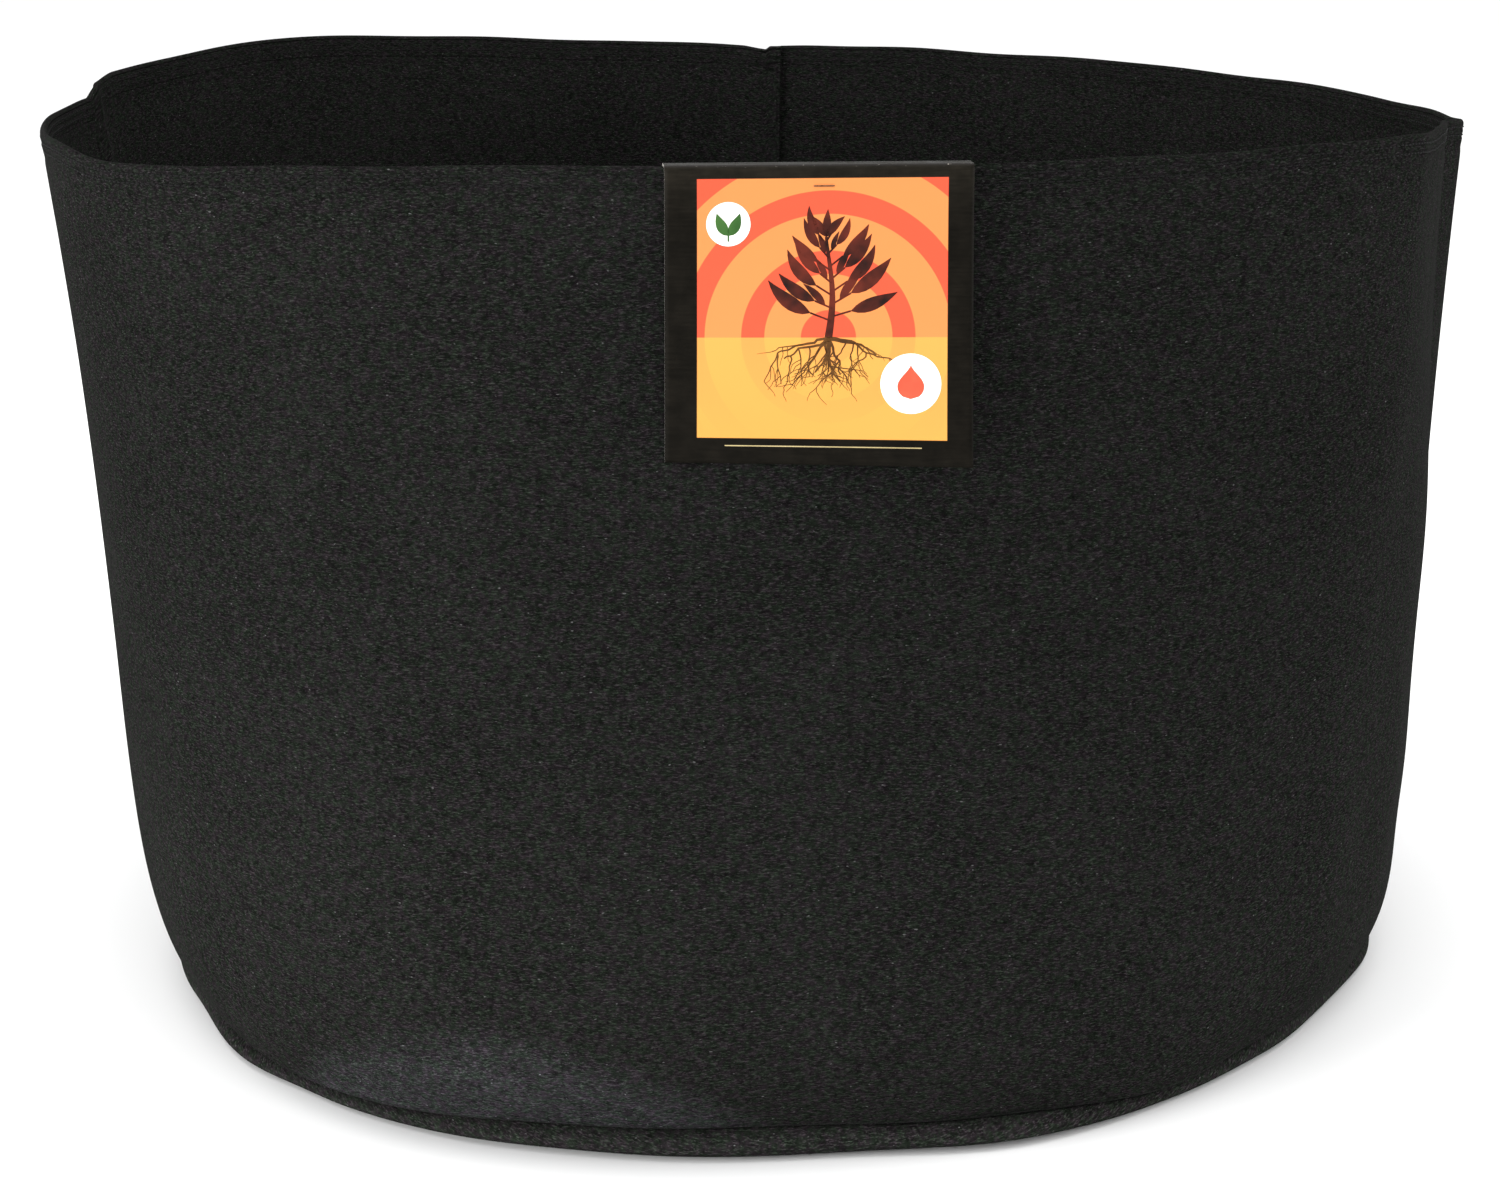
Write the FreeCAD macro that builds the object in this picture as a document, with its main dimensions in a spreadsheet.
import FreeCAD
import Part
import math
import os
import Sketcher

# A round fabric grow bag: a felt wall that is hemmed at the rim and lapped at the back, a felt base whose
# edge is turned up to meet it, the threads that sew them, and a paperboard header card stapled over the rim.
# Millimetres. The origin is at the middle of the base on the floor, +Z is up and the card faces -Y.

DIMENSIONS = {
    "felt": 3.0,
    # The outside of the wall: nearly straight above turn_height, and tucked in below it to the bottom seam.
    "rim_radius": 406.0,
    "rim_height": 470.0,
    "turn_radius": 369.5,
    "turn_height": 75.0,
    "seam_radius": 352.0,
    "seam_height": 12.0,
    "hem_depth": 14.0,
    "seam_allowance": 9.0,
    # The lap that closes the wall at the back, at a plan angle measured from +X, anticlockwise.
    "lap_width": 12.5,
    "lap_plan_angle": 81.8,
    "lap_low": 17.0,
    "lap_high": 455.0,
    "lap_row_inset": 3.0,
    "thread_radius": 0.45,
    "thread_stand": 0.53,
    "upper_row_drop": 4.5,
    "lower_row_drop": 9.0,
    # The header card: its board, the saddle over the rim and the two leaves that hang from it.
    "card_width": 134.6,
    "card_board": 0.6,
    "card_front": 407.3,
    "card_rear": 392.5,
    "card_top_gap": 0.4,
    "saddle_drop": 13.0,
    "leaf_gap": 0.6,
    "leaf_drop": 132.0,
    "rear_lean": 8.2,
    # The staple's centreline: its crown lies on the front of the card and its legs are closed behind it.
    # It sits a little to the right of the card's middle.
    "staple_aside": 1.8,
    "staple_drop": 9.0,
    "staple_crown": 9.6,
    "staple_wire_radius": 0.3,
    "staple_bend": 0.9,
    "staple_tip": 1.2,
}
# The base's edge is rolled up through half a turn, so that its outside reaches the seam.
BASE_BEND = "Dims.seam_height / 2"
MAX_NODES = 60

doc = FreeCAD.newDocument("grow_bag")
sheet = doc.addObject("Spreadsheet::Sheet", "Dims")
for row, (alias, value) in enumerate(DIMENSIONS.items(), 1):
    sheet.set(f"A{row}", alias)
    sheet.set(f"B{row}", str(value))
    sheet.setAlias(f"B{row}", alias)
doc.recompute()


def number(expression):
    """What an expression of the sheet's cells comes to."""
    return float(sheet.evalExpression(expression))


def wall_radius(height, inward):
    """An expression for the wall's radius at a height above the turn, a distance inward from its outside."""
    rise = f"({height} - Dims.turn_height) / (Dims.rim_height - Dims.felt - Dims.turn_height)"
    return f"Dims.turn_radius + (Dims.rim_radius - Dims.turn_radius) * {rise} - {inward}"


def new_body(label):
    body = doc.addObject("PartDesign::Body", label)
    body.Label = label
    return body


def add_sketch(body, name, plane_role, offset=FreeCAD.Placement()):
    """A sketch on one of the body's own origin planes."""
    plane = [item for item in body.Origin.OriginFeatures if item.Role == plane_role][0]
    sketch = body.newObject("Sketcher::SketchObject", name)
    sketch.AttachmentSupport = [(plane, "")]
    sketch.MapMode = "FlatFace"
    sketch.AttachmentOffset = offset
    return sketch


def pin(sketch, geometry, end, expressions):
    """Holds a point at (across, up) expressions. One that starts with ~ only says where the solver begins."""
    for kind, axis, expression in zip(("DistanceX", "DistanceY"), (-2, -1), expressions):
        if expression.startswith("~"):
            continue
        if expression == "0":
            sketch.addConstraint(Sketcher.Constraint("PointOnObject", geometry, end, axis))
            continue
        datum = Sketcher.Constraint(kind, -1, 1, geometry, end, number(expression))
        index = sketch.addConstraint(datum)
        sketch.setExpression(f"Constraints[{index}]", expression)


def arc_about(centre, start, end, turns_left):
    """The arc of a circle about centre, from start to end, as the anticlockwise arc that a sketch holds."""
    first, last = (start, end) if turns_left else (end, start)
    angles = [math.atan2(point.y - centre.y, point.x - centre.x) for point in (first, last)]
    if angles[1] <= angles[0]:
        angles[1] += 2 * math.pi
    circle = Part.Circle(centre, FreeCAD.Vector(0, 0, 1), (start - centre).Length)
    return Part.ArcOfCircle(circle, *angles)


def tangent_centre(far, near, along):
    """The centre of the arc through far and near that runs along the direction given at near."""
    across = FreeCAD.Vector(-along.y, along.x, 0)
    chord = far - near
    return near + across * (chord.dot(chord) / (2 * chord.dot(across)))


def draw(sketch, steps, closed=True):
    """Draws a chain of lines and arcs through pinned points.

    A step is (across, up, kind): kind says how the chain goes on from that point. "line" is straight; "into
    line" and "out of line" are arcs tangent to the line that follows or comes before; ("about", across, up,
    turns_left) is an arc about a pinned centre.
    """
    spots = [FreeCAD.Vector(*[number(text.lstrip("~")) for text in step[:2]], 0) for step in steps]
    pieces = len(steps) if closed else len(steps) - 1
    ends = []
    for i in range(pieces):
        start, end = spots[i], spots[(i + 1) % len(spots)]
        kind = steps[i][2]
        if kind == "line":
            ends.append((1, 2))
            sketch.addGeometry(Part.LineSegment(start, end), False)
            continue
        if kind == "into line":
            along = (spots[(i + 2) % len(spots)] - end).normalize()
            centre = tangent_centre(start, end, along)
        elif kind == "out of line":
            along = (start - spots[i - 1]).normalize()
            centre = tangent_centre(end, start, along)
        else:
            centre = FreeCAD.Vector(number(kind[1]), number(kind[2]), 0)
        turn = (end - start).cross(centre - start).z
        turns_left = kind[3] if kind[0] == "about" else turn > 0
        ends.append((1, 2) if turns_left else (2, 1))
        sketch.addGeometry(arc_about(centre, start, end, turns_left), False)
    for i in range(pieces):
        pin(sketch, i, ends[i][0], steps[i][:2])
        if steps[i][2][0] == "about":
            pin(sketch, i, 3, steps[i][2][1:3])
        if i + 1 < pieces or closed:
            following = (i + 1) % pieces
            joint = (i, ends[i][1], following, ends[following][0])
            smooth = steps[i][2] == "into line" or steps[following][2] == "out of line"
            sketch.addConstraint(Sketcher.Constraint("Tangent" if smooth else "Coincident", *joint))
    if not closed:
        pin(sketch, pieces - 1, ends[-1][1], steps[-1][:2])


def revolve(body, sketch, angle="360"):
    feature = body.newObject("PartDesign::Revolution", f"{body.Label}_turn_{len(body.Group)}")
    feature.Profile = sketch
    feature.ReferenceAxis = (sketch, ["V_Axis"])
    feature.setExpression("Angle", angle)
    body.Tip = feature
    return feature


def about_z(plan_angle):
    """Turns a sketch on the XZ plane about Z, to a plan angle."""
    return FreeCAD.Placement(FreeCAD.Vector(), FreeCAD.Rotation(FreeCAD.Vector(0, 1, 0), plan_angle))


def turn_radius_at(height):
    """The outside's radius at a height on the arc from the bottom seam to the straight wall."""
    slope = "((Dims.rim_radius - Dims.turn_radius) / (Dims.rim_height - Dims.felt - Dims.turn_height))"
    out, up = "(Dims.turn_radius - Dims.seam_radius)", "(Dims.turn_height - Dims.seam_height)"
    reach = f"(({out}^2 + {up}^2) / (2 * ({out} - {up} * {slope})))"
    above_centre = f"({height} - Dims.turn_height - {reach} * {slope})"
    return f"Dims.turn_radius - {reach} + sqrt({reach}^2 * (1 + {slope}^2) - {above_centre}^2)"


def side_of_wall(low, high, inward):
    """The three points that one side of the wall, or of a layer on it, runs through, from the bottom up."""
    return [
        (f"{turn_radius_at(low)} - {inward}", low),
        (f"Dims.turn_radius - {inward}", "Dims.turn_height"),
        (wall_radius(high, inward), high),
    ]


# ---------------------------------------------------------------------------------------------- felt wall


def make_wall_panel():
    """The strip of felt, with the hem rolled inward at the rim and the allowance at the bottom seam."""
    body = new_body("wall_panel")
    profile = add_sketch(body, "wall_profile", "XZ_Plane")
    hem_centre = ("Dims.rim_radius - Dims.felt", "Dims.rim_height - Dims.felt")
    hem_low = "Dims.rim_height - Dims.hem_depth"
    allowance_end = f"Dims.seam_radius - {BASE_BEND} - Dims.seam_allowance"
    seam_top = "Dims.seam_height + Dims.felt"
    draw(
        profile,
        [
            ("Dims.seam_radius", "Dims.seam_height", "into line"),
            ("Dims.turn_radius", "Dims.turn_height", "line"),
            ("Dims.rim_radius", hem_centre[1], ("about", *hem_centre, True)),
            ("~Dims.rim_radius - 2 * Dims.felt", hem_centre[1], "line"),
            (wall_radius(hem_low, "2 * Dims.felt"), hem_low, "line"),
            (wall_radius(hem_low, "Dims.felt"), hem_low, "line"),
            ("Dims.turn_radius - Dims.felt", "Dims.turn_height", "out of line"),
            ("Dims.seam_radius - Dims.felt", seam_top, "line"),
            (allowance_end, seam_top, "line"),
            (allowance_end, "Dims.seam_height", "line"),
        ],
    )
    revolve(body, profile)
    add_lap(body)
    return body


def add_lap(body):
    """The second layer where the strip's ends lap at the back. It bites into the wall, so that they fuse."""
    bite = "Dims.felt / 2"
    lap = add_sketch(body, "lap_profile", "XZ_Plane", about_z(number("Dims.lap_plan_angle")))
    outer = side_of_wall("Dims.lap_low", "Dims.lap_high", bite)
    inner = side_of_wall("Dims.lap_low", "Dims.lap_high", "2 * Dims.felt")
    draw(
        lap,
        [
            (*outer[0], "into line"),
            (*outer[1], "line"),
            (*outer[2], "line"),
            (*inner[2], "line"),
            (*inner[1], "out of line"),
            (*inner[0], "line"),
        ],
    )
    revolve(body, lap, "Dims.lap_width / Dims.turn_radius * 180 / pi")


# ---------------------------------------------------------------------------------------------- felt base


def make_base_disc():
    """A flat disc whose edge rolls up and over, so that its allowance lies under the wall's."""
    body = new_body("base_disc")
    profile = add_sketch(body, "base_profile", "XZ_Plane")
    roll = f"Dims.seam_radius - {BASE_BEND}"
    allowance_end = f"{roll} - Dims.seam_allowance"
    allowance_low = "Dims.seam_height - Dims.felt"
    draw(
        profile,
        [
            ("0", "0", "line"),
            (roll, "0", ("about", roll, BASE_BEND, True)),
            (roll, "~Dims.seam_height", "line"),
            (allowance_end, "Dims.seam_height", "line"),
            (allowance_end, allowance_low, "line"),
            (roll, allowance_low, ("about", roll, BASE_BEND, False)),
            (roll, "~Dims.felt", "line"),
            ("0", "Dims.felt", "line"),
        ],
    )
    revolve(body, profile)
    return body


# ------------------------------------------------------------------------------------------------ threads


def thread_ring(name, radius, height):
    """A thread that runs all the way round: a ring about Z."""
    ring = doc.addObject("Part::Torus", name)
    ring.setExpression("Radius1", radius)
    ring.setExpression("Radius2", "Dims.thread_radius")
    ring.setExpression("Placement.Base.z", height)
    return ring


def group(label, members):
    compound = doc.addObject("Part::Compound", label)
    compound.Label = label
    compound.Links = members
    return compound


def make_rim_stitch(which):
    """One thread row of the hem: the needle thread outside and the bobbin thread inside."""
    height = f"Dims.rim_height - Dims.{which}_row_drop"
    outside = thread_ring(f"{which}_row_outside", wall_radius(height, "(-Dims.thread_stand)"), height)
    behind = wall_radius(height, "(2 * Dims.felt + Dims.thread_stand)")
    inside = thread_ring(f"{which}_row_inside", behind, height)
    return group(f"rim_stitch_{which}", [outside, inside])


def make_base_seam_stitch():
    """The bottom seam's two threads, above and below the allowances, out of sight inside the bag."""
    middle = f"Dims.seam_radius - {BASE_BEND} - Dims.seam_allowance / 2"
    above = thread_ring("base_row_above", middle, "Dims.seam_height + Dims.felt + Dims.thread_stand")
    below = thread_ring("base_row_below", middle, "Dims.seam_height - Dims.felt - Dims.thread_stand")
    return group("base_seam_stitch", [above, below])


def wall_thread(name, plan_angle, inward):
    """A thread that runs up the wall at the back: a round section swept along one side of the felt."""
    body = new_body(name)
    low, high = "Dims.lap_low + 1", "Dims.lap_high - 1"
    side = side_of_wall(low, high, inward)
    path = add_sketch(body, f"{name}_path", "XZ_Plane", about_z(plan_angle))
    draw(path, [(*side[0], "into line"), (*side[1], "line"), (*side[2], "line")], closed=False)
    level = FreeCAD.Placement(
        FreeCAD.Vector(0, 0, number(low)), FreeCAD.Rotation(FreeCAD.Vector(0, 0, 1), plan_angle)
    )
    section = add_sketch(body, f"{name}_section", "XY_Plane", level)
    middle = FreeCAD.Vector(number(side[0][0]), 0, 0)
    circle = Part.Circle(middle, FreeCAD.Vector(0, 0, 1), number("Dims.thread_radius"))
    index = section.addGeometry(circle, False)
    pin(section, index, 3, (side[0][0], "0"))
    radius = section.addConstraint(Sketcher.Constraint("Radius", index, number("Dims.thread_radius")))
    section.setExpression(f"Constraints[{radius}]", "Dims.thread_radius")
    sweep(body, section, path)
    return body


def sweep(body, section, path):
    doc.recompute()
    pipe = body.newObject("PartDesign::AdditivePipe", f"{body.Label}_pipe")
    pipe.Profile = section
    pipe.Spine = (path, [f"Edge{i + 1}" for i in range(len(path.Shape.Edges))])
    pipe.Transition = "Right corner"
    body.Tip = pipe
    return pipe


def make_back_seam_stitch(side, inset):
    """One of the two rows that hold the lap, at a distance from its free edge."""
    turn = math.degrees(number(inset) / number("Dims.turn_radius"))
    plan_angle = number("Dims.lap_plan_angle") + turn
    outside = wall_thread(f"back_row_{side}_outside", plan_angle, "(-Dims.thread_stand)")
    inside = wall_thread(f"back_row_{side}_inside", plan_angle, "(2 * Dims.felt + Dims.thread_stand)")
    return group(f"back_seam_stitch_{side}", [outside, inside])


# -------------------------------------------------------------------------------------------- header card

FOLD_TOP = "(Dims.rim_height + Dims.card_top_gap + Dims.card_board)"
LEAF_TOP = f"({FOLD_TOP} - Dims.saddle_drop - Dims.leaf_gap)"
LEAF_LOW = f"({FOLD_TOP} - Dims.leaf_drop)"
FRONT_FACE = "(-Dims.card_front - Dims.card_board)"
REAR_FACE = "(-Dims.card_rear + Dims.card_board)"


def make_board(label, corners):
    """A piece of the card: its profile seen from the side, as wide as the card."""
    body = new_body(label)
    profile = add_sketch(body, f"{label}_profile", "YZ_Plane")
    draw(profile, [(*corner, "line") for corner in corners])
    pad = body.newObject("PartDesign::Pad", f"{label}_pad")
    pad.Profile = profile
    pad.Midplane = True
    pad.setExpression("Length", "Dims.card_width")
    body.Tip = pad
    return body


def make_header_card_fold():
    """The saddle that folds over the rim."""
    low = f"{FOLD_TOP} - Dims.saddle_drop"
    under = f"{FOLD_TOP} - Dims.card_board"
    corners = [
        (FRONT_FACE, low),
        (FRONT_FACE, FOLD_TOP),
        (REAR_FACE, FOLD_TOP),
        (REAR_FACE, low),
        ("-Dims.card_rear", low),
        ("-Dims.card_rear", under),
        ("-Dims.card_front", under),
        ("-Dims.card_front", low),
    ]
    return make_board("header_card_fold", corners)


def make_header_card_front_leaf():
    """The printed leaf, which hangs straight down outside."""
    near = "-Dims.card_front"
    corners = [(FRONT_FACE, LEAF_LOW), (near, LEAF_LOW), (near, LEAF_TOP), (FRONT_FACE, LEAF_TOP)]
    return make_board("header_card_front_leaf", corners)


def make_header_card_back_leaf():
    """The leaf inside the bag, which leans on the sloping wall."""
    near, far = "-Dims.card_rear", REAR_FACE
    corners = [
        (f"{near} + Dims.rear_lean", LEAF_LOW),
        (f"{far} + Dims.rear_lean", LEAF_LOW),
        (far, LEAF_TOP),
        (near, LEAF_TOP),
    ]
    return make_board("header_card_back_leaf", corners)


def make_staple():
    """Round wire: a crown across the card, two legs through it and the felt, and tips closed behind."""
    body = new_body("staple")
    half = "Dims.staple_crown / 2 - Dims.staple_wire_radius"
    bend = "Dims.staple_bend"
    crown = f"{FRONT_FACE} - Dims.staple_wire_radius"
    closed = f"{REAR_FACE} + Dims.staple_wire_radius"
    height = number(f"{FOLD_TOP} - Dims.staple_drop")
    aside = number("Dims.staple_aside")
    level = FreeCAD.Placement(FreeCAD.Vector(aside, 0, height), FreeCAD.Rotation())
    path = add_sketch(body, "staple_path", "XY_Plane", level)
    left, right = f"-({half})", half
    inner_left, inner_right = f"-({half}) + {bend}", f"{half} - {bend}"
    draw(
        path,
        [
            ("-Dims.staple_tip", closed, "line"),
            (inner_left, closed, ("about", inner_left, f"{closed} - {bend}", True)),
            (f"~{left}", f"{closed} - {bend}", "line"),
            (left, f"{crown} + {bend}", ("about", inner_left, f"{crown} + {bend}", True)),
            (f"{inner_left}", f"~{crown}", "line"),
            (inner_right, crown, ("about", inner_right, f"{crown} + {bend}", True)),
            (f"~{right}", f"{crown} + {bend}", "line"),
            (right, f"{closed} - {bend}", ("about", inner_right, f"{closed} - {bend}", True)),
            (f"{inner_right}", f"~{closed}", "line"),
            ("Dims.staple_tip", closed, "line"),
        ],
        closed=False,
    )
    tip = FreeCAD.Placement(FreeCAD.Vector(0, 0, aside - number("Dims.staple_tip")), FreeCAD.Rotation())
    section = add_sketch(body, "staple_section", "YZ_Plane", tip)
    middle = FreeCAD.Vector(number(closed), height, 0)
    circle = Part.Circle(middle, FreeCAD.Vector(0, 0, 1), number("Dims.staple_wire_radius"))
    index = section.addGeometry(circle, False)
    pin(section, index, 3, (closed, f"{FOLD_TOP} - Dims.staple_drop"))
    datum = Sketcher.Constraint("Radius", index, number("Dims.staple_wire_radius"))
    radius = section.addConstraint(datum)
    section.setExpression(f"Constraints[{radius}]", "Dims.staple_wire_radius")
    sweep(body, section, path)
    return body


# ------------------------------------------------------------------------------------- checks and export


def check_document():
    for item in doc.Objects:
        bad = [state for state in item.State if state in ("Invalid", "Error")]
        if bad:
            raise RuntimeError(f"{item.Label} is {bad}: {item.getStatusString()}")
    for item in doc.Objects:
        if item.isDerivedFrom("Sketcher::SketchObject") and item.solve() != 0:
            raise RuntimeError(f"{item.Label} doesn't solve")


def export(nodes):
    os.makedirs("parts", exist_ok=True)
    if len(nodes) > MAX_NODES:
        raise RuntimeError("too many nodes")
    for node in nodes:
        shape = node.Shape
        if shape.isNull() or not shape.isValid() or not shape.Solids:
            raise RuntimeError(f"{node.Label} has no valid solid")
        shape.exportStep(f"parts/{node.Label}.step")
        box = shape.BoundBox
        print(
            f"{node.Label}: {len(shape.Solids)} solids, {shape.Volume / 1000:.2f} cm3,"
            f" x {box.XMin:.1f} {box.XMax:.1f}, y {box.YMin:.1f} {box.YMax:.1f},"
            f" z {box.ZMin:.1f} {box.ZMax:.1f}"
        )


nodes = [
    make_wall_panel(),
    make_base_disc(),
    make_rim_stitch("upper"),
    make_rim_stitch("lower"),
    make_back_seam_stitch("right", "Dims.lap_row_inset"),
    make_back_seam_stitch("left", "Dims.lap_width - Dims.lap_row_inset"),
    make_base_seam_stitch(),
    make_header_card_fold(),
    make_header_card_front_leaf(),
    make_header_card_back_leaf(),
    make_staple(),
]
doc.recompute()
check_document()
export(nodes)
